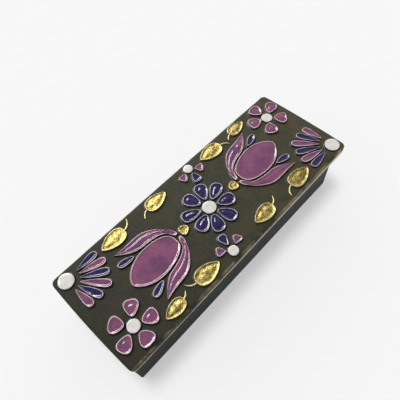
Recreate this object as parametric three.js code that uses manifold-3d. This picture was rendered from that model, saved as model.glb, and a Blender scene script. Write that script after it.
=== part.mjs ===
// A long ceramic box with a loose lid. Low glazed pads stand on the lid as a relief
// of two tulips, a rosette, corner palmettes, small flowers and leaves on stems.
// Millimetres, +Z up, +X along the box. The origin is on the table, under the
// middle of the lid.

import * as THREE from 'three';
import { mergeVertices } from 'three/addons/utils/BufferGeometryUtils.js';
import Module from 'manifold-3d';

// Lid
const lidLength = 300;
const lidWidth = 110;
const lidThickness = 9;
const lidCornerRadius = 5;
const lidEndBow = 1.2;          // how far each short end bulges at its middle
const lidTopRoll = 2.4;         // rolled upper edge
const lidUnderArris = 0.8;
const lidCrown = 1.0;           // rise of the lid's top at mid-length

// Body
const bodyHeight = 55.7;
const overhang = 5.5;           // how far a centred lid stands past the walls
const bodyCornerRadius = 2;
const bodyArris = 1.2;
const wallThickness = 6.5;
const floorThickness = 7;
const cavityCornerRadius = 3;

// How the lid sits
const seatGap = 0.3;            // between the lid and the top of the walls
const lidSlide = 4.4;           // the lid is pushed this far along the box
const rimEndPlay = 5.2;         // play of the locating rim at each end
const rimSidePlay = 1.5;        // play of the locating rim at each side
const rimWidth = 5;
const rimDepth = 7;
const rimCornerRadius = 5;
const rimArris = 1;
const rimHoleRadius = 1;

// Relief pads, measured from the lid's ground
const padHeight = 2.2;
const padRound = 0.8;           // slope of a pad's upper edge
const stemHeight = 1.5;
const stemRound = 0.5;
const stemWidth = 2;
const padSink = 1.5;            // how deep a pad is rooted in the slab
const groove = 1.4;             // gap between neighbouring pads
const handLength = 0.05;        // unevenness of hand-cut pads, as a share of length
const handTurn = 3;             // unevenness of their spacing, in degrees

// Forms of the pads. full > 0 is fuller towards the tip. A tip or base over 1 is
// pointed, and under 1 it is squared. steps is the number of points along each side.
const beadForm = { full: 0, tip: 1, base: 1, steps: 7 };
const petalForm = { full: 0.42, tip: 0.85, base: 0.9, steps: 8 };
const narrowForm = { full: 0.62, tip: 0.7, base: 0.9, steps: 7 };
const heartForm = { full: 0, tip: 1.35, base: 0.72, steps: 12 };
const sideForm = { steps: 11 };
const innerForm = { full: 0.3, tip: 0.9, base: 0.9, steps: 7 };
const budForm = { full: 0.3, tip: 0.7, base: 0.9, steps: 6 };
const leafForm = { full: -0.3, tip: 1.3, base: 0.8, steps: 8 };
const stemForm = { full: -0.25, tip: 0.5, base: 0.4, steps: 7 };

// Rosette in the middle, and the two small flowers
const rosette = { hub: 7.2, petals: 8, length: 19.6, width: 13.6, turn: 22.5 };
const flower = { hub: 6.2, petals: 5, length: 15, width: 14.5, turn: 20 };

// Tulips
const tulip = {
  length: 54, width: 62,
  cupRise: 0.55, cupRoundness: 0.62, lipFlare: 0.06,  // the cup's outline, as shares
  heartLength: 57, heartWidth: 33, heartStart: 6.5,
  sideStart: 1, sideWaist: 31, sideSweep: 1.7,        // side petals leave the heart at the waist
  innerLength: 17, innerWidth: 7.5, innerStart: 43, innerAside: 18, innerTurn: 15,
  budLength: 10, budWidth: 10.5, budGap: 0.5,
};

// Palmettes: a bead with a fan of narrow petals
const cornerFan = { bead: 7.8, start: 12.6, petals: 6, spread: 88, length: 28.5, width: 8.2 };
const edgeFan = { bead: 5.2, start: 6.6, petals: 3, spread: 116, length: 12, width: 9.4 };
const fanShortening = 0.2;      // how much shorter the outermost petals are, as a share

// Leaves on stems. A stem runs a little way into its leaf.
const leaf = { length: 28, width: 17, stemRoot: 0.8 };

// Where each motif stands on one half of the lid, [along, across, degrees]. The other
// half repeats them, turned half round.
const rosetteReach = rosette.hub + groove + rosette.length;
const flowerInset = 25.5;       // from the lid's end and side to the middle of a flower
const cornerFanInset = 10.8;    // and to the bead of a corner palmette
const edgeFanInset = 8.4;       // from the lid's side to the bead of an edge palmette
const leafInset = 12;           // and to the middle line of a leaf
const [lidEnd, lidSide] = [lidLength / 2, lidWidth / 2];
const tulipPlace = [rosetteReach + tulip.budLength + tulip.budGap, -1, 4];
const flowerPlace = [lidEnd - flowerInset, lidSide - flowerInset, 0];
const cornerFanPlace = [lidEnd - cornerFanInset, cornerFanInset - lidSide, 138];
const edgeFanPlace = [18.5, lidSide - edgeFanInset, -98];
const leafPlaces = [
  { place: [63, lidSide - leafInset, 177], size: 1, stemRadius: 10, stemSweep: 70, stemSide: -1 },
  { place: [71, leafInset - lidSide, 1], size: 1, stemRadius: 10, stemSweep: 80, stemSide: 1 },
  { place: [42, leafInset - lidSide, 182], size: 0.92, stemRadius: 9, stemSweep: 75, stemSide: 1 },
  { place: [80, lidSide - leafInset + 1.5, 4], size: 0.8, stemRadius: 8, stemSweep: 60, stemSide: 1 },
];

const lidUnderZ = bodyHeight + seatGap;
const groundZ = lidUnderZ + lidThickness;
const bodyLength = lidLength - 2 * overhang;
const bodyWidth = lidWidth - 2 * overhang;
const cavityLength = bodyLength - 2 * wallThickness;
const cavityWidth = bodyWidth - 2 * wallThickness;
const radians = THREE.MathUtils.degToRad;
const arcMiddle = 1 - Math.SQRT1_2;  // how far in the middle of a rounding lies
const cutPast = 1;                   // how far a cut runs out past a face

const wasm = await Module();
wasm.setup();

function toSolid(geometry) {
  const merged = mergeVertices(geometry, 1e-4);
  return new wasm.Manifold(new wasm.Mesh({
    numProp: 3,
    vertProperties: Float32Array.from(merged.attributes.position.array),
    triVerts: Uint32Array.from(merged.index.array),
  }));
}

function toMesh(name, solid, material) {
  const { vertProperties, triVerts } = solid.getMesh();
  const geometry = new THREE.BufferGeometry();
  geometry.setAttribute('position', new THREE.BufferAttribute(vertProperties, 3));
  geometry.setIndex(new THREE.BufferAttribute(triVerts, 1));
  geometry.computeVertexNormals();
  const mesh = new THREE.Mesh(geometry, material);
  mesh.name = name;
  return mesh;
}

// A closed solid through rings of [x, y, z] points, lowest ring first. Each ring runs
// anticlockwise from its tip, so point i faces point count - i across the shape, and
// the caps are closed by strips between them.
function loft(rings) {
  const count = rings[0].length;
  const index = [];
  for (let r = 0; r + 1 < rings.length; r++) {
    for (let i = 0; i < count; i++) {
      const next = (i + 1) % count;
      const [a, b] = [r * count + i, r * count + next];
      const [c, d] = [a + count, b + count];
      index.push(a, b, d, a, d, c);
    }
  }
  const cap = (start, flip) => {
    const triangle = (a, b, c) => {
      index.push(start + a, start + (flip ? c : b), start + (flip ? b : c));
    };
    for (let i = 0; i < count / 2; i++) {
      const [a, b] = [i, i + 1];
      const [c, d] = [count - i - 1, (count - i) % count];
      if (b !== c) triangle(a, b, c);
      if (d !== a) triangle(a, c, d);
    }
  };
  cap(0, true);
  cap((rings.length - 1) * count, false);
  const geometry = new THREE.BufferGeometry();
  geometry.setAttribute('position', new THREE.Float32BufferAttribute(rings.flat(2), 3));
  geometry.setIndex(index);
  return toSolid(geometry);
}

// The plan of a slab with round corners, cut back by inset. Its long sides carry
// points at a pitch of about 25 mm, so that they can follow the crown.
function slabPlan(length, width, radius, inset = 0, bow = 0) {
  const [halfLength, halfWidth, arc] = [length / 2 - inset, width / 2 - inset, radius - inset];
  const arcSteps = 5;
  const endSteps = bow > 0 ? 4 : 1;
  const sideSteps = 2 * Math.round((length - 2 * radius) / 50);
  const quarter = [];
  for (let i = 0; i < endSteps; i++) {
    quarter.push([halfLength, (halfWidth - arc) * i / endSteps]);
  }
  for (let i = 0; i <= arcSteps; i++) {
    const angle = Math.PI / 2 * i / arcSteps;
    quarter.push([halfLength - arc + arc * Math.cos(angle), halfWidth - arc + arc * Math.sin(angle)]);
  }
  const side = [];
  for (let i = 1; i < sideSteps; i++) {
    side.push([(halfLength - arc) * (1 - 2 * i / sideSteps), halfWidth]);
  }
  const mirrored = quarter.map(([x, y]) => [-x, y]).reverse();
  const half = [...quarter, ...side, ...mirrored];
  const otherHalf = half.slice(1, -1).map(([x, y]) => [x, -y]).reverse();
  return [...half, ...otherHalf].map(([x, y]) => [
    Math.abs(x) > length / 2 - radius - 1e-6
      ? x + Math.sign(x) * bow * (1 - (2 * y / width) ** 2)
      : x,
    y,
  ]);
}

const crownAt = (x) => lidCrown * (1 - (2 * x / lidLength) ** 2);
const levelRing = (plan, z) => plan.map(([x, y]) => [x, y, z]);
const crownedRing = (plan, z) => plan.map(([x, y]) => [x, y, z + crownAt(x)]);

function makeBody() {
  const outer = (inset, z) => levelRing(slabPlan(bodyLength, bodyWidth, bodyCornerRadius, inset), z);
  const inner = (z) => levelRing(slabPlan(cavityLength, cavityWidth, cavityCornerRadius), z);
  const block = loft([
    outer(bodyArris, 0),
    outer(bodyArris * arcMiddle, bodyArris * arcMiddle),
    outer(0, bodyArris),
    outer(0, bodyHeight - bodyArris),
    outer(bodyArris, bodyHeight),
  ]);
  const cavity = loft([inner(floorThickness), inner(bodyHeight + cutPast)]);
  return block.subtract(cavity).translate([-lidSlide, 0, 0]);
}

function makeLidSlab() {
  const plan = (inset) => slabPlan(lidLength, lidWidth, lidCornerRadius, inset, lidEndBow);
  return loft([
    levelRing(plan(lidUnderArris), lidUnderZ),
    levelRing(plan(0), lidUnderZ + lidUnderArris),
    crownedRing(plan(0), groundZ - lidTopRoll),
    crownedRing(plan(lidTopRoll * arcMiddle), groundZ - lidTopRoll * arcMiddle),
    crownedRing(plan(lidTopRoll), groundZ),
  ]);
}

function makeLocatingRim() {
  const length = cavityLength - 2 * rimEndPlay;
  const width = cavityWidth - 2 * rimSidePlay;
  const outer = (inset, z) => levelRing(slabPlan(length, width, rimCornerRadius, inset), z);
  const [holeLength, holeWidth] = [length - 2 * rimWidth, width - 2 * rimWidth];
  const hole = (z) => levelRing(slabPlan(holeLength, holeWidth, rimHoleRadius), z);
  const bottom = lidUnderZ - rimDepth;
  const block = loft([
    outer(rimArris, bottom),
    outer(0, bottom + rimArris),
    outer(0, lidUnderZ + padSink),
  ]);
  return block.subtract(loft([hole(bottom - cutPast), hole(lidUnderZ)]));
}

// A pad's plan from its base at 0 to its tip. half gives its half width at a share of
// its length, and mid the sideways place of its middle line.
function padShape(length, width, { full, tip, base, steps }) {
  const raw = (share) => {
    const lean = 2 * share - 1;
    const power = base + (tip - base) * share;
    return Math.max(0, 1 - lean * lean) ** (power / 2) * (1 + full * lean);
  };
  const samples = 60;
  let widest = 0;
  for (let i = 1; i < samples; i++) widest = Math.max(widest, raw(i / samples));
  const half = (share) => width / 2 * raw(share) / widest;
  return { from: 0, to: length, widest: width / 2, mid: () => 0, half, steps };
}

// A ring round a pad's plan, cut back by inset, from its tip anticlockwise. Its points
// lie closer together towards both ends.
function planRing({ from, to, widest, mid, half, steps }, inset) {
  const upper = [];
  const lower = [];
  const keep = (widest - inset) / widest;
  for (let i = 0; i <= steps; i++) {
    const share = (1 + Math.cos(Math.PI * i / steps)) / 2;
    const u = from + inset + (to - from - 2 * inset) * share;
    const aside = i === 0 || i === steps ? 0 : half(share) * keep;
    upper.push([u, mid(u) + aside]);
    lower.push([u, mid(u) - aside]);
  }
  return [...upper, ...lower.slice(1, -1).reverse()];
}

const pads = [];

// Raises a pad over a plan that starts at a place [x, y, degrees]. bend turns a
// straight plan round a circle of that radius.
function addPad(shape, place, { height = padHeight, round = padRound, bend = 0 } = {}) {
  const curl = ([u, v]) => {
    if (bend === 0) return [u, v];
    const angle = u / bend;
    return [(bend - v) * Math.sin(angle), bend - (bend - v) * Math.cos(angle)];
  };
  const ring = (inset, z) => {
    const plan = planRing(shape, inset).map((point) => beside(place, ...curl(point)).slice(0, 2));
    return crownedRing(plan, groundZ + z);
  };
  pads.push(loft([ring(0, -padSink), ring(0, height - round), ring(round, height)]));
}

// The place that lies at (u, v) in the frame of another place.
function beside([x, y, turn], u, v, extraTurn = 0) {
  const [cos, sin] = [Math.cos(radians(turn)), Math.sin(radians(turn))];
  return [x + u * cos - v * sin, y + u * sin + v * cos, turn + extraTurn];
}

// A repeatable unevenness between -1 and 1.
const uneven = (seed) => Math.sin(2.4 * seed + 0.7);

function addBead(place, radius) {
  addPad(padShape(2 * radius, 2 * radius, beadForm), beside(place, -radius, 0));
}

function addFlower(place, { hub, petals, length, width, turn }, seed) {
  addBead(place, hub);
  for (let i = 0; i < petals; i++) {
    const wobble = 1 + handLength * uneven(i + seed);
    const angle = turn + 360 * i / petals + handTurn * uneven(2 * i + seed);
    const outwards = beside(beside(place, 0, 0, angle), hub + groove, 0);
    addPad(padShape(length * wobble, width * (2 - wobble), petalForm), outwards);
  }
}

function addFan(place, { bead, start, petals, spread, length, width }, seed) {
  addBead(place, bead);
  for (let i = 0; i < petals; i++) {
    const aside = 2 * i / (petals - 1) - 1;
    const wobble = (1 - fanShortening * aside ** 2) * (1 + handLength * uneven(i + seed));
    const outwards = beside(beside(place, 0, 0, spread / 2 * aside), start, 0);
    addPad(padShape(length * wobble, width, narrowForm), outwards);
  }
}

function tulipSide(heart, side) {
  const { length, width, cupRise, cupRoundness, lipFlare, heartStart } = tulip;
  const { sideStart, sideWaist, sideSweep } = tulip;
  const heartHalf = (u) => (u > heartStart ? heart.half((u - heartStart) / heart.to) : 0);
  const cupHalf = (u) => {
    const rise = Math.sin(Math.PI / 2 * Math.min(1, u / (cupRise * length)));
    const lip = Math.max(0, 2 * u / length - 1);
    return width / 2 * rise ** cupRoundness * (1 + lipFlare * lip ** 2);
  };
  const innerEdge = (u) => {
    if (u <= sideWaist) return Math.min(cupHalf(u), heartHalf(u + groove) + groove);
    const waist = heartHalf(sideWaist + groove) + groove;
    const share = (u - sideWaist) / (length - sideWaist);
    return waist + (cupHalf(length) - waist) * share ** sideSweep;
  };
  const half = (share) => {
    const u = sideStart + (length - sideStart) * share;
    return Math.max(0, cupHalf(u) - innerEdge(u)) / 2;
  };
  const mid = (u) => side * (cupHalf(u) + innerEdge(u)) / 2;
  const widest = half((sideWaist - sideStart) / (length - sideStart));
  return { from: sideStart, to: length, widest, mid, half, ...sideForm };
}

function addTulip(place) {
  const { heartLength, heartWidth, heartStart, innerLength, innerWidth, innerStart, innerAside } = tulip;
  const { innerTurn, budLength, budWidth, budGap } = tulip;
  const heart = padShape(heartLength, heartWidth, heartForm);
  addPad(heart, beside(place, heartStart, 0));
  for (const side of [1, -1]) {
    addPad(tulipSide(heart, side), place);
    const inner = padShape(innerLength, innerWidth, innerForm);
    addPad(inner, beside(place, innerStart, side * innerAside, side * innerTurn));
  }
  addPad(padShape(budLength, budWidth, budForm), beside(place, -budLength - budGap, 0));
}

function addLeaf(place, { size, stemRadius, stemSweep, stemSide }) {
  addPad(padShape(leaf.length * size, leaf.width * size, leafForm), place);
  const stem = padShape(stemRadius * radians(stemSweep), stemWidth, stemForm);
  const away = beside(place, leaf.stemRoot, 0, 180);
  addPad(stem, away, { height: stemHeight, round: stemRound, bend: stemRadius * stemSide });
}

function turnedHalfRound([x, y, turn]) {
  return [-x, -y, turn + 180];
}

addFlower([0, 0, 0], rosette, 0);
for (const half of [(place) => place, turnedHalfRound]) {
  addTulip(half(tulipPlace));
  addFlower(half(flowerPlace), flower, 3);
  addFan(half(cornerFanPlace), cornerFan, 1);
  addFan(half(edgeFanPlace), edgeFan, 2);
  for (const { place, ...shape } of leafPlaces) addLeaf(half(place), shape);
}

const darkGlaze = new THREE.MeshStandardMaterial({ color: 0x42403a, roughness: 0.5, metalness: 0 });
const greyGlaze = new THREE.MeshStandardMaterial({ color: 0x3c4144, roughness: 0.55, metalness: 0 });

const lid = wasm.Manifold.union([makeLidSlab(), makeLocatingRim(), ...pads]);

const box = new THREE.Group();
box.add(toMesh('box_body', makeBody(), greyGlaze));
box.add(toMesh('lid', lid, darkGlaze));

export default box;
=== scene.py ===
"""A long ceramic box with a loose relief lid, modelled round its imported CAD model."""

from math import cos, pi, radians, sin

import bpy
from bpy.props import FloatProperty, FloatVectorProperty, PointerProperty
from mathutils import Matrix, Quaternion, Vector


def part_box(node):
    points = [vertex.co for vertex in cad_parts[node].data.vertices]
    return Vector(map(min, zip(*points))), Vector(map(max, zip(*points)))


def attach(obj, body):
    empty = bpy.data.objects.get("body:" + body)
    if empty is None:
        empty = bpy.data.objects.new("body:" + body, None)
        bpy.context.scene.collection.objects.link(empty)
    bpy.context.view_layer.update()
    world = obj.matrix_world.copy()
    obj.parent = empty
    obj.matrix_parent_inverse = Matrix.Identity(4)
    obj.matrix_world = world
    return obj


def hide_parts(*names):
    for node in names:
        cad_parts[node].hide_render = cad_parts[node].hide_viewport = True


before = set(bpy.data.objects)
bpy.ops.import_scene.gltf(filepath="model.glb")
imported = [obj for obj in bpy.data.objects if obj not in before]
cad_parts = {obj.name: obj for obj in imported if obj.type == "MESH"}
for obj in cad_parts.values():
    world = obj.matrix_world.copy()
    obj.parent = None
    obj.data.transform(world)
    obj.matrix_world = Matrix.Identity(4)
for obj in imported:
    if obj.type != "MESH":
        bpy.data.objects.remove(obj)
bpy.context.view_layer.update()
lid_low, lid_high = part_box("lid")
body_low, body_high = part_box("box_body")

bl_info = {
    "name": "Ceramic Relief Box",
    "version": (1, 0, 0),
    "blender": (4, 5, 0),
    "location": "3D View > Sidebar > Ceramic Box",
    "description": "Models a glazed ceramic box whose loose lid carries a low floral relief",
    "category": "Object",
}

MM = 0.001
LID_BOW = 1.2 * MM
LID_CROWN = 1.0 * MM
PAD_HEIGHT = 2.2 * MM
LID_THICKNESS = 9 * MM

# The share of a direction along Z that makes it upright, or leaves it level.
UPRIGHT, LEVEL = 0.9, 0.1
# How near points, heights and sides have to be to count as the same.
TOUCHING, SAME_HEIGHT, SAME_SIDE = 1e-6, 0.01 * MM, 0.2 * MM
# The spacing of the cuts that let a slab follow a curve.
BODY_CUTS, BODY_RISE_CUTS, LID_CUTS = 12 * MM, 9 * MM, 6 * MM
# Hand-made unevenness: the size of its swellings and its depth.
BODY_UNEVENNESS = (30 * MM, 0.4 * MM)
LID_WAVES = (26 * MM, 0.45 * MM)
PAD_UNEVENNESS = (5.5 * MM, 0.3 * MM)
# The height over its own foot from which the lid or a pad is made uneven.
RAISED_FROM = 0.5 * MM
# The angles, in degrees, over which a shaded edge stays sharp.
SLAB_CREASE, PAD_CREASE = 35, 60


def linear(code):
    """An sRGB hex colour as linear red, green and blue."""
    channels = [int(code[i:i + 2], 16) / 255 for i in (1, 3, 5)]
    return tuple(c / 12.92 if c <= 0.04045 else ((c + 0.055) / 1.055) ** 2.4 for c in channels)


def length_of(name, description, metres):
    return FloatProperty(
        name=name, description=description, default=metres, min=0.0, precision=5,
        unit="LENGTH", subtype="DISTANCE",
    )


def colour_of(name, description, code):
    return FloatVectorProperty(
        name=name, description=description, default=linear(code), min=0.0, max=1.0,
        size=3, subtype="COLOR",
    )


def share_of(name, description, amount):
    return FloatProperty(name=name, description=description, default=amount, min=0.0)


class LidSizes(bpy.types.PropertyGroup):
    length: length_of("Length", "Length of the slab at its long sides", lid_high.x - lid_low.x - 2 * LID_BOW)
    width: length_of("Width", "Width of the slab", lid_high.y - lid_low.y)
    thickness: length_of("Thickness", "Thickness of the slab at its ends, without the relief", LID_THICKNESS)
    ground: length_of("Ground", "Height of the slab's top at its ends", lid_high.z - LID_CROWN - PAD_HEIGHT)
    corner: length_of("Corner radius", "Radius of the slab's corners in plan", 5 * MM)
    bow: length_of("End bow", "How far each short end bulges at its middle", LID_BOW)
    crown: length_of("Crown", "Rise of the top at mid-length", LID_CROWN)
    roll: length_of("Upper roll", "Radius of the rolled upper edge", 2.4 * MM)
    arris: length_of("Lower arris", "Radius of the lower edge", 0.8 * MM)
    rim_length: length_of("Rim length", "Length of the locating rim under the lid", 265.6 * MM)
    rim_width: length_of("Rim width", "Width of the locating rim under the lid", 83 * MM)
    rim_wall: length_of("Rim wall", "Thickness of the locating rim", 5 * MM)
    rim_depth: length_of("Rim depth", "How far the locating rim reaches into the box", 7 * MM)
    rim_corner: length_of("Rim corner radius", "Radius of the rim's outer corners", 5 * MM)
    rim_inner_corner: length_of("Rim inner radius", "Radius of the rim's inner corners", 1.5 * MM)
    rim_arris: length_of("Rim arris", "Radius of the rim's lower edges", 1 * MM)


class BodySizes(bpy.types.PropertyGroup):
    wall: length_of("Wall", "Thickness of the walls", 6.5 * MM)
    floor: length_of("Floor", "Thickness of the floor", 7 * MM)
    corner: length_of("Corner radius", "Radius of the outer corners in plan", 2 * MM)
    inner_corner: length_of("Inner corner radius", "Radius of the corners inside", 3 * MM)
    arris: length_of("Arris", "Radius of the upper and lower edges", 1.2 * MM)
    floor_round: length_of("Floor round", "Radius between the floor and the walls inside", 2.5 * MM)


class ReliefSizes(bpy.types.PropertyGroup):
    pad_height: length_of("Pad height", "Height of a pad's rim above the ground", 2.12 * MM)
    dish: length_of("Dish", "How far the glazed middle lies below its rim", 0.6 * MM)
    stem_height: length_of("Stem height", "Height of a leaf's stem above the ground", 1.45 * MM)


class GlazeColours(bpy.types.PropertyGroup):
    ground: colour_of("Ground", "Dark satin glaze of the lid's ground", "#353628")
    ground_brown: colour_of("Browner ground", "Where the ground's glaze is thin", "#3B3526")
    # The foot line: partly glaze gathered round the pads, partly painted shade of the grooves between them.
    foot: colour_of("Foot line", "Glaze gathered round the pads, with painted shade of the grooves", "#0B0805")
    body: colour_of("Body", "Charcoal satin glaze of the box", "#1D2023")
    clay: colour_of("Bare clay", "Fired clay where glaze is worn or wiped off", "#D3C7A6")
    mauve: colour_of("Mauve", "Mauve glossy glaze", "#8A5171")
    mauve_patch: colour_of("Purple patches", "Where the mauve glaze is thicker", "#6E4166")
    mauve_rim: colour_of("Mauve rim", "Where the mauve glaze runs thin", "#DCC2C0")
    violet: colour_of("Violet", "Violet glossy glaze", "#1E1748")
    violet_patch: colour_of("Blue patches", "Where the violet glaze is thicker", "#2A2153")
    violet_rim: colour_of("Violet rim", "Where the violet glaze runs thin", "#B5AEBC")
    white: colour_of("White", "White glaze of the beads", "#DEDBD8")
    cream: colour_of("Cream", "Creamy clouds in the white glaze", "#D2CBBE")
    gold: colour_of("Gold", "Gold lustre of the leaves", "#C6B068")
    thin_gold: colour_of("Thin gold", "Where the lustre is thin", "#665A2B")
    gold_rim: colour_of("Gold rim", "Rubbed rims of the leaves", "#DCCB92")


class StudioSettings(bpy.types.PropertyGroup):
    floor: colour_of("Floor", "Pale studio floor", "#B8B8B8")
    glow: share_of("Floor glow", "How far the lit paper shines itself", 0.45)
    walls: share_of("Walls", "Brightness of the light tent near the floor", 1.0)
    roof: share_of("Roof", "Brightness of the light tent overhead", 0.22)
    front: share_of("Front", "Brightness of the tent's open front, as a share of the rest", 0.4)
    key: share_of("Key light", "Strength of the soft key light", 1.95)
    window: share_of("Window light", "Power of the long light that shows in the gloss", 18.0)


def deselect_all():
    bpy.ops.object.select_all(action="DESELECT")


def make_active(*pieces):
    """Select these pieces alone, the first of them active."""
    deselect_all()
    for piece in pieces:
        piece.select_set(True)
    bpy.context.view_layer.objects.active = pieces[0]


def open_with(piece, kind, test=None):
    """Open a piece in edit mode with all its VERT, EDGE or FACE items selected, or those that
    pass a test. The test gets the middle of a face and its normal, or of an edge and its
    direction."""
    make_active(piece)
    mesh = piece.data
    kinds = {"VERT": mesh.vertices, "EDGE": mesh.edges, "FACE": mesh.polygons}
    for items in kinds.values():
        items.foreach_set("select", [False] * len(items))
    bpy.context.tool_settings.mesh_select_mode = [kind == name for name in kinds]
    for item in kinds[kind]:
        if test is None:
            item.select = True
        elif kind == "FACE":
            item.select = test(item.center, item.normal)
        else:
            start, end = (mesh.vertices[i].co for i in item.vertices)
            item.select = test((start + end) / 2, (end - start).normalized())
    bpy.ops.object.mode_set(mode="EDIT")


def close_piece():
    bpy.ops.object.mode_set(mode="OBJECT")


def start_block(name, low, high):
    """A cube primitive between two corners, with its place in its mesh."""
    deselect_all()
    low, high = Vector(low), Vector(high)
    bpy.ops.mesh.primitive_cube_add(size=1, location=(low + high) / 2, scale=high - low)
    block = bpy.context.object
    block.name = block.data.name = name
    bpy.ops.object.transform_apply(location=True, rotation=True, scale=True)
    return block


def extrude_by(offset):
    bpy.ops.mesh.extrude_region_move(TRANSFORM_OT_translate={"value": offset})


def bevel_edges(piece, radius, segments, test):
    open_with(piece, "EDGE", test)
    bpy.ops.mesh.bevel(offset=radius, segments=segments, affect="EDGES", clamp_overlap=True)
    close_piece()


def cut_across(piece, axis, stations):
    """Cut a piece right through at each station along an axis, so that it can follow a curve."""
    open_with(piece, "VERT")
    for station in stations:
        bpy.ops.mesh.select_all(action="SELECT")
        point, normal = Vector(), Vector()
        point[axis], normal[axis] = station, 1
        bpy.ops.mesh.bisect(plane_co=point, plane_no=normal)
    close_piece()


def between(low, high, pitch):
    """Stations at an even pitch of about that size between two ends."""
    count = round((high - low) / pitch)
    return [low + (high - low) * i / count for i in range(1, count)]


def apply_modifier(piece, kind, settings):
    """Add a modifier of a kind to a piece with its settings, and apply it."""
    make_active(piece)
    bpy.ops.object.modifier_add(type=kind)
    modifier = piece.modifiers[-1]
    for key, value in settings.items():
        setattr(modifier, key, value)
    bpy.ops.object.modifier_apply(modifier=modifier.name)


def make_uneven(piece, grain, depth, group="", direction="NORMAL", name=""):
    """Hand-made unevenness with swellings of about the size of grain. Pieces that name the
    same unevenness and move along Z rise and fall together."""
    name = name or f"{piece.name} unevenness"
    texture = bpy.data.textures.get(name) or bpy.data.textures.new(name, type="CLOUDS")
    texture.noise_scale = grain
    texture.noise_depth = 1
    apply_modifier(piece, "DISPLACE", {
        "texture": texture, "texture_coords": "LOCAL", "direction": direction, "strength": depth,
        "mid_level": 0.5, "vertex_group": group,
    })


def subdivide(piece, levels, scheme):
    """Split every face. CATMULL_CLARK rounds the form, and SIMPLE leaves it as it is."""
    apply_modifier(piece, "SUBSURF", {
        "subdivision_type": scheme, "levels": levels, "render_levels": levels,
    })


def shade(piece, degrees):
    make_active(piece)
    bpy.ops.object.shade_smooth_by_angle(angle=radians(degrees))


def finish_piece(piece, slot, node):
    """Give a piece the material of a slot, hang it under the root body, and hide the CAD part that it stands
    for.
    """
    name, make, *extra = FINISHES[slot]
    piece.data.materials.clear()
    piece.data.materials.append(bpy.data.materials.get(name) or make(name, *extra))
    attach(piece, "root")
    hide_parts(node)


def feed(tree, node, values):
    """Give a node its values, by property or socket. A socket among the values is linked,
    and so is a node, by its first output in use."""
    for key, value in values.items():
        if isinstance(key, str) and hasattr(node, key):
            setattr(node, key, value)
        elif isinstance(value, bpy.types.Node):
            tree.links.new(next(out for out in value.outputs if out.enabled), node.inputs[key])
        elif isinstance(value, bpy.types.NodeSocket):
            tree.links.new(value, node.inputs[key])
        else:
            node.inputs[key].default_value = value


def add_node(tree, kind, values=None):
    """Add a shader node of a kind and give it its values."""
    node = tree.nodes.new(f"ShaderNode{kind}")
    feed(tree, node, values or {})
    return node


def start_material(name, *noises):
    """A new material with its tree, its shader and, for each (millimetres, detail), a noise
    of about that grain in the object's own coordinates."""
    material = bpy.data.materials.new(name)
    material.use_nodes = True
    tree = material.node_tree
    place = add_node(tree, "TexCoord").outputs["Object"]
    made = [
        add_node(tree, "TexNoise", {"Scale": 1 / (grain * MM), "Detail": detail, "Vector": place})
        for grain, detail in noises
    ]
    return material, tree, tree.nodes["Principled BSDF"], *made


def shade_of(colour, factor=1.0):
    """A colour made lighter or darker, opaque."""
    return (*(min(1.0, channel * factor) for channel in colour), 1.0)


SMOOTH = {"interpolation_type": "SMOOTHSTEP"}


def lay_over(tree, under, over, source, start, end, most=1.0, smooth=False):
    """A colour laid over another: none of it where the source is at start, most at end."""
    share = add_node(tree, "MapRange", {
        **(SMOOTH if smooth else {}), "From Min": start, "From Max": end, "To Max": most,
        "Value": source,
    })
    return add_node(tree, "Mix", {"data_type": "RGBA", 0: share, 6: under, 7: over})


def painted_light_along(tree, colour, along, low, high, least, most):
    """Painted light along the box: a colour scaled by a share that climbs from least at the low end to most
    at the high end, so painted shade darkens the near end and painted light brightens the far end.
    """
    painted_light_share = add_node(tree, "MapRange", {
        "From Min": low, "From Max": high, "To Min": least, "To Max": most, "Value": along,
    })
    return add_node(tree, "VectorMath", {"operation": "SCALE", 0: colour, "Scale": painted_light_share})


# The bare clay along the lid's lower edge: its height at the near and far end, how softly it
# ends, and how far its line swings with the fine and the broad noise.
BARE_NEAR, BARE_FAR, BARE_SOFTNESS = 1.8 * MM, 6.8 * MM, 0.7 * MM
FINE_SWING, BROAD_SWING = 3 * MM, 5 * MM
# The worn upper edge: where it starts and is full, from the side and from the top.
WORN_SIDE = (2.2 * MM, 1.2 * MM)
WORN_TOP = (3 * MM, 1.2 * MM)


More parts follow.
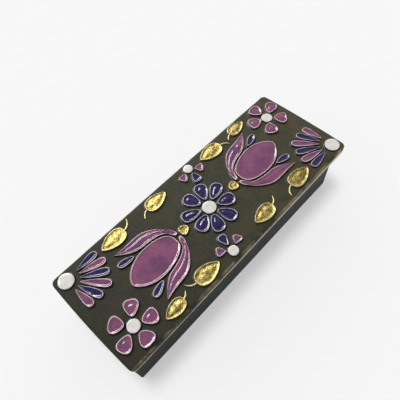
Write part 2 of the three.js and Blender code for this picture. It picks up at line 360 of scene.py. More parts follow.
def satin_ground_glaze(name):
    """Dark satin glaze, brushed over the slab and wiped off its lower edge. It gives the eye
    a dull olive brown in clouds, with painted shade darker towards the near end, a worn line
    on the upper edge and a buff line below."""
    colours, sizes = bpy.context.scene.glaze_colours, bpy.context.scene.lid_sizes
    material, tree, shader, clouds, grain = start_material(name, (16, 5), (2.4, 3))
    place = add_node(tree, "TexCoord").outputs["Object"]
    along, across, up = add_node(tree, "SeparateXYZ", {"Vector": place}).outputs
    end = sizes.length / 2
    dark, brown = shade_of(colours.ground, 0.8), shade_of(colours.ground_brown, 1.1)
    toned = lay_over(tree, dark, brown, clouds, 0.38, 0.62)
    grained = lay_over(tree, toned, shade_of(colours.ground, 1.7), grain, 0.45, 0.75, 0.5)
    # Painted shade: the ground darker towards the near end and lighter towards the far end.
    with_painted_light = painted_light_along(tree, grained, along, -end, end, 0.6, 1.4)
    # The wiped lower edge: bare clay up to a ragged line that climbs towards the far end.
    line = add_node(tree, "MapRange", {
        "From Min": -end, "From Max": end, "To Min": BARE_NEAR, "To Max": BARE_FAR, "Value": along,
    })
    for noise, swing in ((grain, FINE_SWING), (clouds, BROAD_SWING)):
        swung = add_node(tree, "Math", {"operation": "MULTIPLY_ADD", 0: noise, 1: swing, 2: -swing / 2})
        line = add_node(tree, "Math", {"operation": "ADD", 0: line, 1: swung})
    height = add_node(tree, "Math", {"operation": "SUBTRACT", 0: up, 1: sizes.ground - sizes.thickness})
    below = add_node(tree, "Math", {"operation": "SUBTRACT", 0: line, 1: height})
    wiped = add_node(tree, "MapRange", {
        **SMOOTH, "From Min": -BARE_SOFTNESS, "From Max": BARE_SOFTNESS,
        "Value": below,
    })
    # The clay itself: buff, with browner smears of the glaze left in its pores.
    smeared = lay_over(tree, shade_of(colours.clay, 0.55), shade_of(colours.clay), grain, 0.35, 0.6)
    # The upper edge of the long sides, where handling has worn the glaze in streaks.
    aside = add_node(tree, "Math", {"operation": "ABSOLUTE", 0: across})
    rubbed = add_node(tree, "MapRange", {
        "From Min": 0.42, "From Max": 0.62, "To Max": 0.3, "Value": clouds,
    })
    for source, reach, (start, full) in (
        (aside, sizes.width / 2, WORN_SIDE), (height, sizes.thickness, WORN_TOP),
    ):
        near = add_node(tree, "MapRange", {
            **SMOOTH, "From Min": reach - start, "From Max": reach - full,
            "Value": source,
        })
        rubbed = add_node(tree, "Math", {"operation": "MULTIPLY", 0: rubbed, 1: near})
    bare = add_node(tree, "Math", {"operation": "MAXIMUM", 0: wiped, 1: rubbed})
    colour = add_node(tree, "Mix", {"data_type": "RGBA", 0: bare, 6: with_painted_light, 7: smeared})
    rough = add_node(tree, "MapRange", {"To Min": 0.56, "To Max": 0.72, "Value": clouds})
    bump = add_node(tree, "Bump", {"Strength": 0.4, "Distance": 0.25 * MM, "Height": grain})
    feed(tree, shader, {
        "Base Color": colour, "Roughness": rough, "Normal": bump, "IOR": 1.5, "Specular IOR Level": 0.2,
    })
    return material


def charcoal_body_glaze(name):
    """Charcoal satin glaze, dipped. It gives the eye a cool, near-black side with faint clouds,
    with painted light making it lighter towards the far end, and worn to bare clay along the foot."""
    colours = bpy.context.scene.glaze_colours
    material, tree, shader, clouds, grain = start_material(name, (16, 4), (1.8, 3))
    place = add_node(tree, "TexCoord").outputs["Object"]
    split = add_node(tree, "SeparateXYZ", {"Vector": place})
    dark, light = shade_of(colours.body, 0.7), shade_of(colours.body, 1.35)
    toned = lay_over(tree, dark, light, clouds, 0.36, 0.64)
    # Painted light: the side made lighter towards the far end, where it mirrors the brighter floor.
    with_painted_light = painted_light_along(tree, toned, split.outputs["X"], body_low.x, body_high.x, 0.5, 2.2)
    ragged = add_node(tree, "Math", {"operation": "MULTIPLY_ADD", 0: grain, 1: 1.6 * MM, 2: -0.6 * MM})
    below = add_node(tree, "Math", {"operation": "SUBTRACT", 0: ragged, 1: split.outputs["Z"]})
    clay = shade_of(colours.clay, 0.4)
    colour = lay_over(tree, with_painted_light, clay, below, -0.3 * MM, 0.3 * MM, 0.6, smooth=True)
    bump = add_node(tree, "Bump", {"Strength": 0.3, "Distance": 0.2 * MM, "Height": grain})
    feed(tree, shader, {
        "Base Color": colour, "Roughness": 0.7, "Normal": bump, "IOR": 1.5, "Specular IOR Level": 0.25,
    })
    return material


def glossy_pad_glaze(name, hue):
    """Glossy glaze, flooded into a pad inside its raised rim. It gives the eye a deep wet
    colour in soft patches, a pale broken line where the glaze runs thin over the rim, and a
    dark line round the foot: glaze gathered there, with painted shade of the groove."""
    colours = bpy.context.scene.glaze_colours
    colour, patch, rim = (getattr(colours, key) for key in (hue, f"{hue}_patch", f"{hue}_rim"))
    material, tree, shader, patches, clouds, grain = start_material(name, (17, 2), (5, 3), (2, 3))
    edge = add_node(tree, "Attribute", {"attribute_name": "from_edge"}).outputs["Fac"]
    patched = lay_over(tree, shade_of(colour), shade_of(patch), patches, 0.38, 0.62)
    clouded = lay_over(tree, patched, shade_of(colour, 0.5), clouds, 0.7, 0.3, 0.22)
    pool = lay_over(tree, clouded, shade_of(rim, 0.6), grain, 0.45, 0.8, 0.12)
    # The distance from the pad's outline in millimetres, made a little ragged.
    ragged = add_node(tree, "Math", {"operation": "MULTIPLY_ADD", 0: clouds, 1: 0.9, 2: -0.45})
    distance = add_node(tree, "Math", {"operation": "ADD", 0: ragged, 1: edge})
    # The dark foot line below the rim: gathered glaze with painted shade of the groove.
    rimmed = lay_over(tree, shade_of(colours.foot), shade_of(rim), distance, 0.12, 0.3, smooth=True)
    into_pool = add_node(tree, "MapRange", {
        **SMOOTH, "From Min": 0.65, "From Max": 1.1, "Value": distance,
    })
    mixed = add_node(tree, "Mix", {"data_type": "RGBA", 0: into_pool, 6: rimmed, 7: pool})
    rough = add_node(tree, "MapRange", {"To Min": 0.35, "To Max": 0.07, "Value": into_pool})
    bump = add_node(tree, "Bump", {"Strength": 0.3, "Distance": 0.2 * MM, "Height": clouds})
    feed(tree, shader, {"Base Color": mixed, "Roughness": rough, "Normal": bump, "IOR": 1.52})
    return material


def white_bead_glaze(name):
    """Opaque white glaze, dabbed on. It gives the eye a milky bead with creamy clouds and a
    darker line round its foot, gathered glaze with painted shade of the groove."""
    colours = bpy.context.scene.glaze_colours
    material, tree, shader, clouds = start_material(name, (4, 3))
    edge = add_node(tree, "Attribute", {"attribute_name": "from_edge"}).outputs["Fac"]
    toned = lay_over(tree, shade_of(colours.white), shade_of(colours.cream), clouds, 0.45, 0.72)
    ragged = add_node(tree, "Math", {"operation": "MULTIPLY_ADD", 0: clouds, 1: 0.5, 2: edge})
    # The darker line round the foot: gathered glaze with painted shade of the groove.
    colour = lay_over(tree, shade_of(colours.foot), toned, ragged, 0.15, 0.45, smooth=True)
    feed(tree, shader, {"Base Color": colour, "Roughness": 0.2, "IOR": 1.52})
    return material


def gold_lustre(name):
    """Gold lustre, fired over a crinkled glaze. It gives the eye a broken metallic glitter
    with olive patches where the lustre is thin, and a paler rubbed rim."""
    colours = bpy.context.scene.glaze_colours
    material, tree, shader, crinkle, clouds = start_material(name, (1, 2), (4, 4))
    edge = add_node(tree, "Attribute", {"attribute_name": "from_edge"}).outputs["Fac"]
    # Fine grains decide where the lustre holds, and broad clouds how well.
    spread = add_node(tree, "Math", {"operation": "MULTIPLY_ADD", 0: crinkle, 1: 0.6, 2: clouds})
    patched = lay_over(tree, shade_of(colours.gold), shade_of(colours.thin_gold), spread, 0.7, 0.92, 0.9)
    rimmed = lay_over(tree, shade_of(colours.gold_rim), patched, edge, 0.7, 1.3, smooth=True)
    # At the foot the dark foot colour: gathered glaze with painted shade of the groove.
    off_foot = add_node(tree, "MapRange", {
        **SMOOTH, "From Min": -0.05, "From Max": 0.2, "Value": edge,
    })
    colour = add_node(tree, "Mix", {
        "data_type": "RGBA", 0: off_foot, 6: shade_of(colours.foot), 7: rimmed,
    })
    metal = add_node(tree, "Math", {"operation": "MULTIPLY", 0: off_foot, 1: 0.85})
    bump = add_node(tree, "Bump", {"Strength": 1.0, "Distance": 0.35 * MM, "Height": crinkle})
    feed(tree, shader, {"Base Color": colour, "Metallic": metal, "Roughness": 0.4, "Normal": bump})
    return material


# Each slot's material: its name, how it is made, and the hue of a pad's glaze.
FINISHES = {
    "body_glaze": ("Charcoal satin glaze, dipped", charcoal_body_glaze),
    "lid_glaze": ("Dark satin glaze, brushed and wiped", satin_ground_glaze),
    "mauve_glaze": ("Mauve glossy glaze, flooded", glossy_pad_glaze, "mauve"),
    "violet_glaze": ("Violet glossy glaze, flooded", glossy_pad_glaze, "violet"),
    "white_glaze": ("Opaque white glaze, dabbed", white_bead_glaze),
    "gold_lustre": ("Gold lustre, fired over crinkled glaze", gold_lustre),
}


def upright_at(distance):
    """A test for the upright edges at a distance from the box's middle line."""
    return lambda middle, direction: (
        abs(direction.z) > UPRIGHT and abs(abs(middle.y) - distance) < SAME_SIDE
    )


def level_at(*heights):
    """A test for the level edges at some heights."""
    return lambda middle, direction: (
        abs(direction.z) < LEVEL and any(abs(middle.z - height) < SAME_HEIGHT for height in heights)
    )


class CERAMIC_OT_body(bpy.types.Operator):
    """Model the hollow box body with its walls, floor and soft edges"""

    bl_idname = "ceramic.body"
    bl_label = "Add Box Body"

    def execute(self, context):
        sizes = context.scene.body_sizes
        low, high = body_low, body_high
        body = start_block("box_shell", low, high)
        open_with(body, "FACE", lambda middle, normal: normal.z > UPRIGHT)
        bpy.ops.mesh.inset(thickness=sizes.wall, depth=0)
        extrude_by((0, 0, -(high.z - low.z - sizes.floor)))
        close_piece()
        bevel_edges(body, sizes.corner, 6, upright_at(high.y))
        bevel_edges(body, sizes.inner_corner, 4, upright_at(high.y - sizes.wall))
        bevel_edges(body, sizes.arris, 3, level_at(low.z, high.z))
        bevel_edges(body, sizes.floor_round, 3, level_at(sizes.floor))
        for axis, pitch in enumerate((BODY_CUTS, BODY_CUTS, BODY_RISE_CUTS)):
            cut_across(body, axis, between(low[axis], high[axis], pitch))
        subdivide(body, 1, "SIMPLE")
        make_uneven(body, *BODY_UNEVENNESS)
        fit_between(body, low, high)
        shade(body, SLAB_CREASE)
        finish_piece(body, "body_glaze", "box_body")
        return {"FINISHED"}


def fit_between(piece, low, high):
    """Keep a piece inside the corners of the solid that it stands for."""
    for vertex in piece.data.vertices:
        for axis in range(3):
            vertex.co[axis] = min(max(vertex.co[axis], low[axis]), high[axis])


def crown_at(x):
    sizes = bpy.context.scene.lid_sizes
    return sizes.crown * (1 - (2 * x / sizes.length) ** 2)


class CERAMIC_OT_lid(bpy.types.Operator):
    """Model the lid's slab, with its crown, bowed ends and the locating rim underneath"""

    bl_idname = "ceramic.lid"
    bl_label = "Add Lid Slab"

    def execute(self, context):
        sizes = context.scene.lid_sizes
        half_length, half_width = sizes.length / 2, sizes.width / 2
        under = sizes.ground - sizes.thickness
        corners = (-half_length, -half_width, under), (half_length, half_width, sizes.ground)
        lid = start_block("lid_slab", *corners)
        open_with(lid, "FACE", lambda middle, normal: normal.z < -UPRIGHT)
        margin = half_width - sizes.rim_width / 2
        bpy.ops.mesh.inset(thickness=margin, depth=0)
        bpy.ops.transform.resize(
            value=(sizes.rim_length / 2 / (half_length - margin), 1, 1), center_override=(0, 0, under)
        )
        extrude_by((0, 0, -sizes.rim_depth))
        bpy.ops.mesh.inset(thickness=sizes.rim_wall, depth=0)
        extrude_by((0, 0, sizes.rim_depth))
        close_piece()

        def at_outside(middle, direction):
            outer = abs(middle.y) > half_width - sizes.corner or abs(middle.x) > half_length - sizes.corner
            return outer and level_at(under)(middle, direction)

        rim_side = sizes.rim_width / 2
        bevel_edges(lid, sizes.corner, 6, upright_at(half_width))
        bevel_edges(lid, sizes.rim_corner, 5, upright_at(rim_side))
        bevel_edges(lid, sizes.rim_inner_corner, 3, upright_at(rim_side - sizes.rim_wall))
        bevel_edges(lid, sizes.rim_arris, 3, level_at(under - sizes.rim_depth))
        bevel_edges(lid, sizes.roll, 5, level_at(sizes.ground))
        bevel_edges(lid, sizes.arris, 3, at_outside)
        cut_across(lid, 0, between(-half_length, half_length, LID_CUTS))
        cut_across(lid, 1, between(-half_width, half_width, LID_CUTS))
        for vertex in lid.data.vertices:
            x, y, z = vertex.co
            if abs(x) > half_length - sizes.corner:
                vertex.co.x += (1 if x > 0 else -1) * sizes.bow * (1 - (y / half_width) ** 2)
            rise = min(1, max(0, (z - under - sizes.arris) / (sizes.thickness - sizes.arris - sizes.roll)))
            vertex.co.z += crown_at(x) * rise
        subdivide(lid, 1, "SIMPLE")
        top = lid.vertex_groups.new(name="top")
        top.add([v.index for v in lid.data.vertices if v.co.z > under + RAISED_FROM], 1.0, "REPLACE")
        follow_lid(lid, "top")
        fit_between(lid, lid_low, lid_high)
        shade(lid, SLAB_CREASE)
        finish_piece(lid, "lid_glaze", "lid")
        return {"FINISHED"}


# Lengths of the relief are in millimetres, as in the CAD source.
# The forms of the pads: full, tip, base. full > 0 is fuller towards the tip. A tip or base
# over 1 is pointed, and under 1 squared.
BEAD_FORM = (0, 1, 1)
PETAL_FORM = (0.42, 0.85, 0.9)
NARROW_FORM = (0.62, 0.7, 0.9)
HEART_FORM = (0, 1.35, 0.72)
INNER_FORM = (0.3, 0.9, 0.9)
BUD_FORM = (0.3, 0.7, 0.9)
LEAF_FORM = (-0.3, 1.3, 0.8)
STEM_FORM = (-0.25, 0.5, 0.4)

PETAL_POINTS, HEART_POINTS, LONG_POINTS, STEM_POINTS = 20, 32, 36, 24
PAD_LEVELS = 2
OUTLINE_STEPS = 60

GROOVE = 1.4
HAND_LENGTH = 0.05
HAND_TURN = 3
FAN_SHORTENING = 0.2

ROSETTE = {"hub": 7.2, "petals": 8, "length": 19.6, "width": 13.6, "turn": 22.5, "seed": 0}
FLOWER = {"hub": 6.2, "petals": 5, "length": 15, "width": 14.5, "turn": 20, "seed": 3}
CORNER_FAN = {"bead": 7.8, "start": 12.6, "petals": 6, "spread": 88, "length": 28.5, "width": 8.2, "seed": 1}
EDGE_FAN = {"bead": 5.2, "start": 6.6, "petals": 3, "spread": 116, "length": 12, "width": 9.4, "seed": 2}
LEAF = {"length": 28, "width": 17, "stem_width": 2, "stem_root": 0.8}
TULIP = {
    "length": 54, "width": 62, "cup_rise": 0.55, "cup_roundness": 0.62, "lip_flare": 0.06,
    "heart_length": 57, "heart_width": 33, "heart_start": 6.5,
    "side_start": 1, "side_waist": 31, "side_sweep": 1.7,
    "inner_length": 17, "inner_width": 7.5, "inner_start": 43, "inner_aside": 18, "inner_turn": 15,
    "bud_length": 10, "bud_width": 10.5, "bud_gap": 0.5, "bud_margin": 0.4,
}

# Where each motif stands on one half of the lid: along, across, degrees.
LID_END, LID_SIDE = 150, 55
FLOWER_INSET, CORNER_FAN_INSET, EDGE_FAN_INSET, LEAF_INSET = 25.5, 10.8, 8.4, 12
ROSETTE_REACH = ROSETTE["hub"] + GROOVE + ROSETTE["length"]
TULIP_PLACE = (ROSETTE_REACH + TULIP["bud_length"] + TULIP["bud_gap"], -1, 4)
FLOWER_PLACE = (LID_END - FLOWER_INSET, LID_SIDE - FLOWER_INSET, 0)
CORNER_FAN_PLACE = (LID_END - CORNER_FAN_INSET, CORNER_FAN_INSET - LID_SIDE, 138)
EDGE_FAN_PLACE = (18.5, LID_SIDE - EDGE_FAN_INSET, -98)
# The leaves of that half: place, size, and the radius, sweep and side of the stem.
LEAF_PLACES = [
    ((63, LID_SIDE - LEAF_INSET, 177), 1, 10, 70, -1),
    ((71, LEAF_INSET - LID_SIDE, 1), 1, 10, 80, 1),
    ((42, LEAF_INSET - LID_SIDE, 182), 0.92, 9, 75, 1),
    ((80, LID_SIDE - LEAF_INSET + 1.5, 4), 0.8, 8, 60, 1),
]


def uneven(seed):
    """A repeatable unevenness between -1 and 1."""
    return sin(2.4 * seed + 0.7)


def beside(place, along, across, extra_turn=0):
    """The place that lies so far along and across from another place."""
    x, y, turn = place
    c, s = cos(radians(turn)), sin(radians(turn))
    return x + along * c - across * s, y + along * s + across * c, turn + extra_turn


def both_halves(place):
    """A place on one half of the lid, and the one that repeats it half a turn round."""
    x, y, turn = place
    return [place, (-x, -y, turn + 180)]


def outline_of(width, form):
    """The half width of a pad at a share of its length from the base."""
    full, tip, base = form

    def raw(share):
        lean = 2 * share - 1
        power = base + (tip - base) * share
        return max(0.0, 1 - lean * lean) ** (power / 2) * (1 + full * lean)

    widest = max(raw(step / OUTLINE_STEPS) for step in range(1, OUTLINE_STEPS))
    return lambda share: width / 2 * raw(share) / widest


# The fillet of glaze round a pad's foot, a low skirt over the ground that carries the foot line of gathered
# glaze and painted shade, as rings (inset, height).
FOOT_RINGS = [(-1.2, -0.15), (-1.15, 0.1)]
# The half widths from which a pad has room for its whole dip, or swells again inside it, and
# under which its middle stays low.
DIP_ROOM, SWELL_ROOM, LOW_WIDTH = 3.6, 6, 5


def rimmed_profile(half_width):
    """Rings (inset, height) of a pad: a fillet of glaze round the foot, a raised rim, the
    dip inside it and a middle that swells again."""
    sizes = bpy.context.scene.relief_sizes
    top, dish = sizes.pad_height / MM, sizes.dish / MM
    rings = FOOT_RINGS + [(-0.4, 0.18), (-0.05, 0.4), (0, 0.9), (0.08, 1.5)]
    rings += [(0.3, top - 0.1), (0.55, top), (0.85, top - 0.08 * dish), (1.5, top - 0.45 * dish)]
    rings.append((2.3, top - 0.85 * dish))
    if half_width > DIP_ROOM:
        rings.append((3.2, top - dish))
    if half_width > SWELL_ROOM:
        rings += [(4.4, top - 0.85 * dish), (0.75 * half_width, top - 0.35 * dish)]
    return rings + [(half_width, top - (0.9 if half_width < LOW_WIDTH else 0.2) * dish)]


def domed_profile(half_width, top):
    """Rings (inset, height) of a pad that swells to its middle, with a fillet round its foot."""
    rings = FOOT_RINGS + [(-0.3, 0.18), (0, 0.55 * top), (0.15, 0.75 * top)]
    rings += [(0.5, 0.9 * top), (1.2, 0.965 * top), (0.5 * half_width, 0.995 * top)]
    rings.append((0.8 * half_width, top))
    return rings + [(half_width, top)]


def stem_profile(top):
    return [(-0.2, -0.4), (0, 0.3), (0.12, 0.62 * top), (0.4, 0.9 * top), (0.7, 0.98 * top), (1, top)]


def model_pad(name, length, width, outline, profile, points=PETAL_POINTS, move=None):
    """Model one pad from its base at the origin to its tip along X. A circle is drawn to the
    outline and extruded from ring to ring, and its last ring closes to a spine. move then
    shifts a point (along, across) of the pad. Each point keeps its distance from the
    outline, in millimetres, for the glaze."""
    deselect_all()
    middle = length / 2 * MM
    bpy.ops.mesh.primitive_circle_add(
        vertices=points, radius=middle, fill_type="NGON", location=(middle, 0, 0), rotation=(0, 0, pi / 2)
    )
    pad = bpy.context.object
    pad.name = pad.data.name = name
    bpy.ops.object.transform_apply(location=True, rotation=True, scale=True)
    for vertex in pad.data.vertices:
        share = min(1, max(0, vertex.co.x / (length * MM)))
        if abs(vertex.co.y) < TOUCHING:
            vertex.co.y = 0
        else:
            vertex.co.y = (1 if vertex.co.y > 0 else -1) * outline(share) * MM
    pad.data.attributes.active = pad.data.attributes.new("from_edge", "FLOAT", "POINT")
    open_with(pad, "VERT")
    past_inset = past_height = 0
    for number, (inset, height) in enumerate(profile):
        rise = (0, 0, (height - past_height) * MM)
        if number == 0:
            bpy.ops.transform.translate(value=rise)
        else:
            extrude_by(rise)
        last = number == len(profile) - 1
        along = (length - 2 * inset) / (length - 2 * past_inset)
        across = 0 if last else (width - 2 * inset) / (width - 2 * past_inset)
        bpy.ops.transform.resize(value=(along, across, 1), center_override=(middle, 0, 0))
        bpy.ops.mesh.attribute_set(value_float=inset)
        past_inset, past_height = inset, height
    bpy.ops.mesh.delete(type="ONLY_FACE")
    bpy.ops.mesh.select_all(action="SELECT")
    bpy.ops.mesh.remove_doubles(threshold=TOUCHING)
    bpy.ops.mesh.normals_make_consistent(inside=False)
    close_piece()
    if move:
        for vertex in pad.data.vertices:
            along, across = move(vertex.co.x / MM, vertex.co.y / MM)
            vertex.co.x, vertex.co.y = along * MM, across * MM
    subdivide(pad, PAD_LEVELS, "CATMULL_CLARK")
    return pad


def set_copy(pattern, place, stretch=1.0, widen=1.0):
    """Copy a pattern pad with its own mesh to a place on the lid."""
    make_active(pattern)
    bpy.ops.object.duplicate(linked=False)
    copy = bpy.context.object
    x, y, turn = place
    copy.location = (x * MM, y * MM, 0)
    copy.rotation_euler = (0, 0, radians(turn))
    copy.scale = (stretch, widen, 1)
    bpy.ops.object.transform_apply(location=True, rotation=True, scale=True)
    return copy


def follow_lid(piece, group=""):
    """The slow waves of the lid's top, which its relief rides."""
    make_uneven(piece, *LID_WAVES, group, "Z", "Lid waves")


def join_on_lid(name, copies, patterns, slot):
    """Join the copies into one piece, stand it on the crowned, wavy lid, glaze it and throw
    the patterns away."""
    for pattern in patterns:
        bpy.data.objects.remove(pattern)
    make_active(*copies)
    if len(copies) > 1:
        bpy.ops.object.join()
    piece = bpy.context.object
    piece.name = piece.data.name = name
    raised = piece.vertex_groups.new(name="raised")
    raised.add([v.index for v in piece.data.vertices if v.co.z > RAISED_FROM], 1.0, "REPLACE")
    ground = bpy.context.scene.lid_sizes.ground
    for vertex in piece.data.vertices:
        vertex.co.z += ground + crown_at(vertex.co.x)
    follow_lid(piece)
    make_uneven(piece, *PAD_UNEVENNESS, "raised")
    shade(piece, PAD_CREASE)
    finish_piece(piece, slot, "lid")


def bead_pattern(radius):
    top = bpy.context.scene.relief_sizes.pad_height / MM
    outline = outline_of(2 * radius, BEAD_FORM)
    return model_pad("bead pattern", 2 * radius, 2 * radius, outline, domed_profile(radius, top))


def petal_pattern(length, width, form, points=PETAL_POINTS):
    profile = rimmed_profile(width / 2)
    return model_pad("petal pattern", length, width, outline_of(width, form), profile, points)


def ring_of_petals(pattern, centre, motif):
    """Copies of a petal right round a hub."""
    copies = []
    for i in range(motif["petals"]):
        wobble = 1 + HAND_LENGTH * uneven(i + motif["seed"])
        angle = motif["turn"] + 360 * i / motif["petals"] + HAND_TURN * uneven(2 * i + motif["seed"])
        place = beside(beside(centre, 0, 0, angle), motif["hub"] + GROOVE, 0)
        copies.append(set_copy(pattern, place, wobble, 2 - wobble))
    return copies


def fan_of_petals(pattern, centre, motif):
    """Copies of a narrow petal spread in a fan, from one side to the other."""
    copies = []
    for i in range(motif["petals"]):
        aside = 2 * i / (motif["petals"] - 1) - 1
        wobble = (1 - FAN_SHORTENING * aside ** 2) * (1 + HAND_LENGTH * uneven(i + motif["seed"]))
        place = beside(beside(centre, 0, 0, motif["spread"] / 2 * aside), motif["start"], 0)
        copies.append(set_copy(pattern, place, wobble))
    return copies


class CERAMIC_OT_rosette(bpy.types.Operator):
    """Model the rosette in the middle of the lid"""

    bl_idname = "ceramic.rosette"
    bl_label = "Add Rosette"

    def execute(self, context):
        centre = (0, 0, 0)
        petal = petal_pattern(ROSETTE["length"], ROSETTE["width"], PETAL_FORM)
        petals = ring_of_petals(petal, centre, ROSETTE)
        join_on_lid("rosette_petals", petals, [petal], "violet_glaze")
        bead = bead_pattern(ROSETTE["hub"])
        hub = set_copy(bead, beside(centre, -ROSETTE["hub"], 0))
        join_on_lid("rosette_hub", [hub], [bead], "white_glaze")
        return {"FINISHED"}


class CERAMIC_OT_flowers(bpy.types.Operator):
    """Model the two small flowers near opposite corners of the lid"""

    bl_idname = "ceramic.flowers"
    bl_label = "Add Small Flowers"

    def execute(self, context):
        petal = petal_pattern(FLOWER["length"], FLOWER["width"], PETAL_FORM)
        bead = bead_pattern(FLOWER["hub"])
        petals, hubs = [], []
        for place in both_halves(FLOWER_PLACE):
            petals += ring_of_petals(petal, place, FLOWER)
            hubs.append(set_copy(bead, beside(place, -FLOWER["hub"], 0)))
        join_on_lid("flower_petals", petals, [petal], "mauve_glaze")
        join_on_lid("flower_hubs", hubs, [bead], "white_glaze")
        return {"FINISHED"}


class CERAMIC_OT_fans(bpy.types.Operator):
    """Model the palmettes, each a bead with a fan of narrow petals in two colours"""

    bl_idname = "ceramic.fans"
    bl_label = "Add Palmettes"

    def execute(self, context):
        for name, motif, centre in (
            ("corner_fan", CORNER_FAN, CORNER_FAN_PLACE),
            ("edge_fan", EDGE_FAN, EDGE_FAN_PLACE),
        ):
            petal = petal_pattern(motif["length"], motif["width"], NARROW_FORM)
            bead = bead_pattern(motif["bead"])
            mauve, violet, beads = [], [], []
            for place in both_halves(centre):
                petals = fan_of_petals(petal, place, motif)
                mauve += petals[0::2]
                violet += petals[1::2]
                beads.append(set_copy(bead, beside(place, -motif["bead"], 0)))
            join_on_lid(f"{name}_mauve_petals", mauve, [petal], "mauve_glaze")
            join_on_lid(f"{name}_violet_petals", violet, [], "violet_glaze")
            join_on_lid(f"{name}_beads", beads, [bead], "white_glaze")
        return {"FINISHED"}


def cup_half(u):
    """Half width of a tulip's cup."""
    rise = sin(pi / 2 * min(1, max(0, u) / (TULIP["cup_rise"] * TULIP["length"])))
    lip = max(0, 2 * u / TULIP["length"] - 1)
    return TULIP["width"] / 2 * rise ** TULIP["cup_roundness"] * (1 + TULIP["lip_flare"] * lip ** 2)


def heart_half(u):
    """Half width of the heart petal in a tulip."""
    share = (u - TULIP["heart_start"]) / TULIP["heart_length"]
    return outline_of(TULIP["heart_width"], HEART_FORM)(share) if share > 0 else 0


def side_inner_edge(u):
    """How far out a side petal's inner edge runs: along the heart, then swept to the cup's lip."""
    waist = TULIP["side_waist"]
    if u <= waist:
        return min(cup_half(u), heart_half(u + GROOVE) + GROOVE)
    inner = heart_half(waist + GROOVE) + GROOVE
    share = (u - waist) / (TULIP["length"] - waist)
    return inner + (cup_half(TULIP["length"]) - inner) * share ** TULIP["side_sweep"]


def side_petal_pattern(side):
    start, length = TULIP["side_start"], TULIP["length"] - TULIP["side_start"]

    def half(share):
        u = start + length * share
        return max(0, cup_half(u) - side_inner_edge(u)) / 2

    def sweep(along, across):
        u = min(TULIP["length"], max(start, start + along))
        return start + along, across + side * (cup_half(u) + side_inner_edge(u)) / 2

    width = 2 * half((TULIP["side_waist"] - start) / length)
    profile = rimmed_profile(width / 2)
    return model_pad("side petal pattern", length, width, half, profile, LONG_POINTS, sweep)


class CERAMIC_OT_tulips(bpy.types.Operator):
    """Model the two tulips that open from the rosette towards the ends of the lid"""

    bl_idname = "ceramic.tulips"
    bl_label = "Add Tulips"

    def execute(self, context):
        t = TULIP
        heart = petal_pattern(t["heart_length"], t["heart_width"], HEART_FORM, HEART_POINTS)
        inner = petal_pattern(t["inner_length"], t["inner_width"], INNER_FORM)
        bud = model_pad(
            "bud pattern", t["bud_length"], t["bud_width"], outline_of(t["bud_width"], BUD_FORM),
            rimmed_profile(t["bud_length"] / 2 - t["bud_margin"]),
        )
        sides = {side: side_petal_pattern(side) for side in (1, -1)}
        hearts, side_petals, inner_petals, buds = [], [], [], []
        for place in both_halves(TULIP_PLACE):
            hearts.append(set_copy(heart, beside(place, t["heart_start"], 0)))
            for side, pattern in sides.items():
                side_petals.append(set_copy(pattern, place))
                spot = beside(place, t["inner_start"], side * t["inner_aside"], side * t["inner_turn"])
                inner_petals.append(set_copy(inner, spot))
            buds.append(set_copy(bud, beside(place, -t["bud_length"] - t["bud_gap"], 0)))
        join_on_lid("tulip_hearts", hearts, [heart], "mauve_glaze")
        join_on_lid("tulip_side_petals", side_petals, sides.values(), "mauve_glaze")
        join_on_lid("tulip_inner_petals", inner_petals, [inner], "violet_glaze")
        join_on_lid("tulip_buds", buds, [bud], "gold_lustre")
        return {"FINISHED"}


class CERAMIC_OT_leaves(bpy.types.Operator):
    """Model the crinkled leaves and their round stems"""

    bl_idname = "ceramic.leaves"
    bl_label = "Add Leaves"

    def execute(self, context):
        leaf = petal_pattern(LEAF["length"], LEAF["width"], LEAF_FORM, LONG_POINTS)
        leaves, stems, patterns = [], [], []
        stem_top = context.scene.relief_sizes.stem_height / MM
        for spot, size, radius, sweep, side in LEAF_PLACES:
            bend = radius * side

            def curl(along, across):
                angle = along / bend
                return (bend - across) * sin(angle), bend - (bend - across) * cos(angle)

            stem = model_pad(
                "stem pattern", radius * radians(sweep), LEAF["stem_width"],
                outline_of(LEAF["stem_width"], STEM_FORM), stem_profile(stem_top), STEM_POINTS, curl,
            )
            patterns.append(stem)
            for place in both_halves(spot):
                leaves.append(set_copy(leaf, place, size, size))
                stems.append(set_copy(stem, beside(place, LEAF["stem_root"], 0, 180)))
        join_on_lid("leaves", leaves, [leaf], "gold_lustre")
        join_on_lid("leaf_stems", stems, patterns, "gold_lustre")
        return {"FINISHED"}


CAMERA_PLACE = Vector((-135.0, -141.6, 405.5)) * MM
CAMERA_AIM = Vector((0.74, 13.12, 65.0)) * MM
CAMERA_ROLL = -6.32
CAMERA_LENS, CAMERA_SENSOR, CAMERA_NEAR = 36.74, 36, 0.01
BOX_MIDDLE = Vector((0, 0, 60)) * MM
KEY_AZIMUTH, KEY_ELEVATION, KEY_SPREAD, KEY_DISTANCE = 100, 81.5, 18, 2
WINDOW_AZIMUTH, WINDOW_ELEVATION, WINDOW_DISTANCE = 88, 45, 1.3
WINDOW_LENGTH, WINDOW_HEIGHT = 1.2, 0.25
FLOOR_SIZE, FLOOR_DROP = 8, 0.1 * MM
# Between which heights, and which depths from front to back, the tent's light changes.
TENT_RISE, TENT_FRONT = (0.25, 0.95), (-0.7, 0.3)


def direction_of(azimuth, elevation):
    a, e = radians(azimuth), radians(elevation)
    return Vector((cos(e) * cos(a), cos(e) * sin(a), sin(e)))


def add_light(name, kind, direction, distance):
    """A light that shines from a direction on the middle of the box."""
    light = bpy.data.objects.new(name, bpy.data.lights.new(name, kind))
    bpy.context.scene.collection.objects.link(light)
    light.location = BOX_MIDDLE + direction * distance
    light.rotation_euler = direction.to_track_quat("Z", "Y").to_euler()
    return light


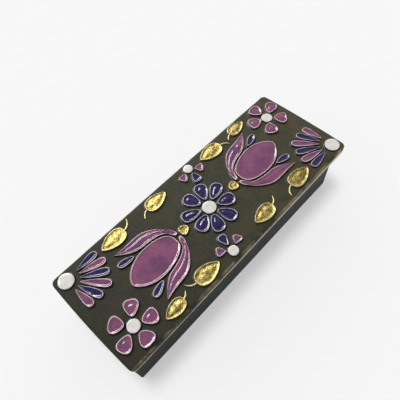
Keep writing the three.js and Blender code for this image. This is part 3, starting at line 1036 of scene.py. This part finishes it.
class CERAMIC_OT_studio(bpy.types.Operator):
    """Set the pale floor, the soft lights and the camera of the photograph"""

    bl_idname = "ceramic.studio"
    bl_label = "Set Up Studio"

    def execute(self, context):
        settings = context.scene.studio_settings
        deselect_all()
        bpy.ops.mesh.primitive_plane_add(size=FLOOR_SIZE, location=(0, 0, -FLOOR_DROP))
        floor = context.object
        floor.name = "studio_floor"
        material, tree, shader = start_material("Pale paper, rolled out")
        feed(tree, shader, {
            "Base Color": (*settings.floor, 1.0), "Roughness": 0.9, "Specular IOR Level": 0.0,
            "Emission Color": (1, 1, 1, 1), "Emission Strength": settings.glow,
        })
        floor.data.materials.append(material)

        world = bpy.data.worlds.new("Light tent")
        world.use_nodes = True
        tent = world.node_tree
        outward = add_node(tent, "TexCoord").outputs["Generated"]
        heading = add_node(tent, "SeparateXYZ", {"Vector": outward})
        strength = add_node(tent, "Math", {"operation": "MULTIPLY"})
        for number, (axis, (start, end), least, most) in enumerate((
            ("Z", TENT_RISE, settings.walls, settings.roof), ("Y", TENT_FRONT, settings.front, 1.0),
        )):
            brightness = add_node(tent, "MapRange", {
                **SMOOTH, "From Min": start, "From Max": end,
                "To Min": least, "To Max": most, "Value": heading.outputs[axis],
            })
            feed(tent, strength, {number: brightness})
        feed(tent, tent.nodes["Background"], {"Color": (1, 1, 1, 1), "Strength": strength})
        context.scene.world = world

        key = add_light("Soft key", "SUN", direction_of(KEY_AZIMUTH, KEY_ELEVATION), KEY_DISTANCE)
        key.data.energy = settings.key
        key.data.angle = radians(KEY_SPREAD)
        key.visible_glossy = False
        window = add_light("Window", "AREA", direction_of(WINDOW_AZIMUTH, WINDOW_ELEVATION), WINDOW_DISTANCE)
        window.data.shape = "RECTANGLE"
        window.data.size, window.data.size_y = WINDOW_LENGTH, WINDOW_HEIGHT
        window.data.energy = settings.window
        window.visible_diffuse = False

        camera = bpy.data.objects.new("Camera", bpy.data.cameras.new("Camera"))
        context.scene.collection.objects.link(camera)
        camera.location = CAMERA_PLACE
        view = (CAMERA_AIM - CAMERA_PLACE).to_track_quat("-Z", "Y")
        camera.rotation_mode = "QUATERNION"
        camera.rotation_quaternion = view @ Quaternion((0, 0, 1), radians(CAMERA_ROLL))
        camera.data.sensor_width = CAMERA_SENSOR
        camera.data.lens = CAMERA_LENS
        camera.data.clip_start = CAMERA_NEAR
        context.scene.camera = camera
        context.scene.view_settings.view_transform = "Standard"
        return {"FINISHED"}


PIECE_OPERATORS = [
    CERAMIC_OT_body, CERAMIC_OT_lid, CERAMIC_OT_rosette, CERAMIC_OT_flowers, CERAMIC_OT_fans,
    CERAMIC_OT_tulips, CERAMIC_OT_leaves, CERAMIC_OT_studio,
]
SETTINGS = {
    "lid_sizes": LidSizes, "body_sizes": BodySizes, "relief_sizes": ReliefSizes,
    "glaze_colours": GlazeColours, "studio_settings": StudioSettings,
}


class CERAMIC_PT_box(bpy.types.Panel):
    """Sizes, colours and steps of the ceramic box"""

    bl_label = "Ceramic Box"
    bl_idname = "CERAMIC_PT_box"
    bl_space_type = "VIEW_3D"
    bl_region_type = "UI"
    bl_category = "Ceramic Box"

    def draw(self, context):
        for name in SETTINGS:
            box = self.layout.box()
            box.label(text=name.replace("_", " ").capitalize())
            settings = getattr(context.scene, name)
            for key in settings.bl_rna.properties.keys():
                if key not in ("rna_type", "name"):
                    box.prop(settings, key)
        for operator in PIECE_OPERATORS:
            self.layout.operator(operator.bl_idname)


def register():
    for group in SETTINGS.values():
        bpy.utils.register_class(group)
    for name, group in SETTINGS.items():
        setattr(bpy.types.Scene, name, PointerProperty(type=group))
    for operator in PIECE_OPERATORS:
        bpy.utils.register_class(operator)
    bpy.utils.register_class(CERAMIC_PT_box)


def unregister():
    bpy.utils.unregister_class(CERAMIC_PT_box)
    for operator in reversed(PIECE_OPERATORS):
        bpy.utils.unregister_class(operator)
    for name, group in SETTINGS.items():
        delattr(bpy.types.Scene, name)
        bpy.utils.unregister_class(group)


def main():
    register()
    bpy.ops.ceramic.body()
    bpy.ops.ceramic.lid()
    bpy.ops.ceramic.rosette()
    bpy.ops.ceramic.flowers()
    bpy.ops.ceramic.fans()
    bpy.ops.ceramic.tulips()
    bpy.ops.ceramic.leaves()
    bpy.ops.ceramic.studio()


if __name__ == "__main__":
    main()
